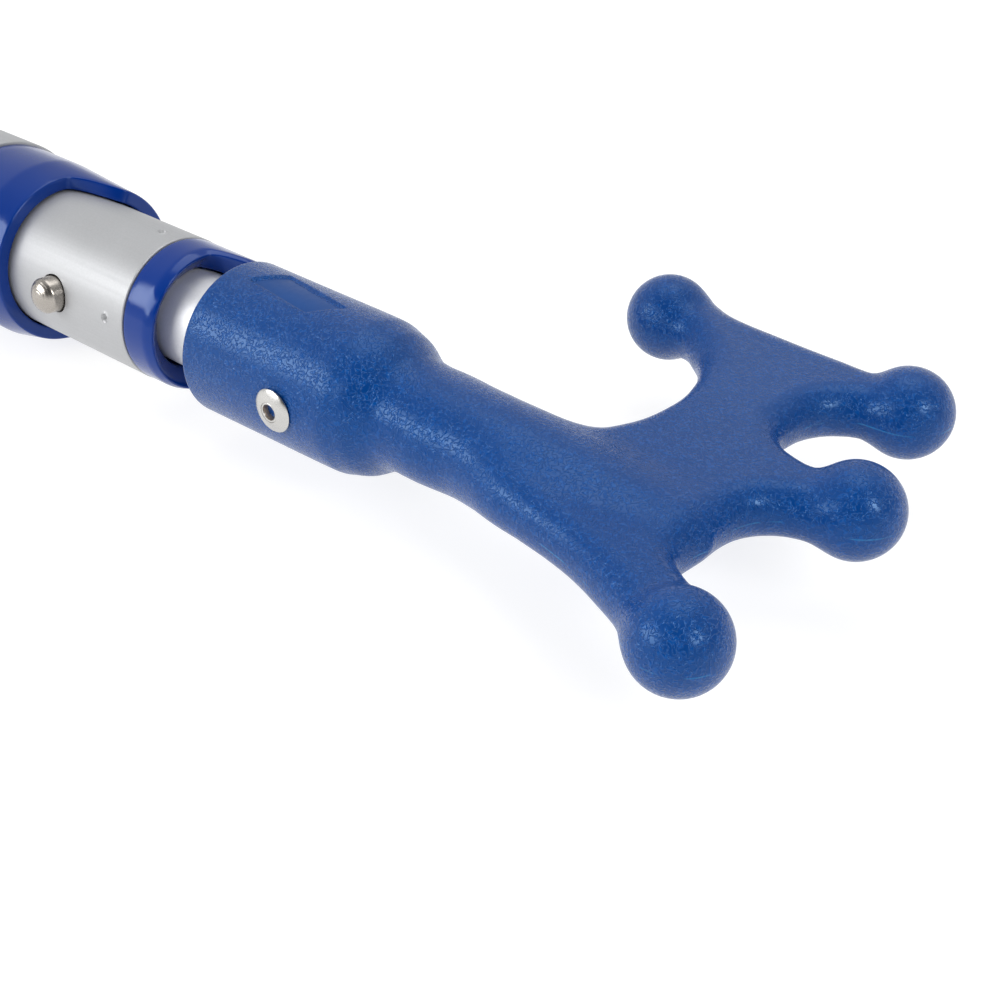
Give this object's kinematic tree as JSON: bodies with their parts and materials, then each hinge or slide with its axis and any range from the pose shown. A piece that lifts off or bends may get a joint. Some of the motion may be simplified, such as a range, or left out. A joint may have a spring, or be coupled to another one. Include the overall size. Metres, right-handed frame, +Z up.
{
  "type": "telescoping boat hook",
  "caption": "Telescoping boat hook: sliding aluminium tubes with guide collars and spring lock buttons, and a moulded hook head with ball-tipped arms.",
  "frame": {"origin": "centre of the butt cap's flat end face", "axes": "+X along the pole to the hook head, +Z up with the head lying flat, +Y to the head's far arms"},
  "size_m": [1.0198, 0.097, 0.0432],
  "materials": {
    "satin_aluminium": "satin anodised",
    "glossy_blue": "glossy",
    "moulded_blue": "fine moulded grain",
    "rivet_metal": "bright",
    "turned_steel": "turned, polished",
    "spring_steel": "plain strip",
    "black_plastic": "matte",
    "grip_foam": "matte foam"
  },
  "bodies": {
    "outer": {"outer_tube": "satin_aluminium", "outer_collar": "glossy_blue", "outer_grip": "grip_foam", "end_cap": "black_plastic", "end_cap_rivet_left": "rivet_metal", "end_cap_rivet_right": "rivet_metal"},
    "mid": {"mid_tube": "satin_aluminium", "mid_collar": "glossy_blue", "mid_tail_bush": "black_plastic", "mid_front_spring": "spring_steel", "mid_rear_spring": "spring_steel"},
    "inner": {"inner_tube": "satin_aluminium", "inner_tail_bush": "black_plastic", "inner_front_spring": "spring_steel", "inner_rear_spring": "spring_steel", "hook_head": "moulded_blue", "head_rivet_left": "rivet_metal", "head_rivet_right": "rivet_metal"},
    "rear_button": {"rear_lock_button": "turned_steel"},
    "front_button": {"front_lock_button": "turned_steel"}
  },
  "joints": [
    {"name": "mid_slide", "type": "slide", "parent": "outer", "child": "mid", "axis": [1, 0, 0], "range_m": [0, 0.71]},
    {"name": "inner_slide", "type": "slide", "parent": "mid", "child": "inner", "axis": [1, 0, 0], "range_m": [0, 0.71]},
    {"name": "rear_button_press", "type": "slide", "parent": "outer", "child": "rear_button", "axis": [0, 0.9903, -0.1392], "range_m": [0, 0.0048], "stiffness_N_per_m": 2500, "springref_m": -0.002, "deforming": ["mid_front_spring", "mid_rear_spring"]},
    {"name": "front_button_press", "type": "slide", "parent": "mid", "child": "front_button", "axis": [0, 0.9903, -0.1392], "range_m": [0, 0.0052], "stiffness_N_per_m": 2500, "springref_m": -0.002, "deforming": ["inner_front_spring", "inner_rear_spring"]}
  ]
}
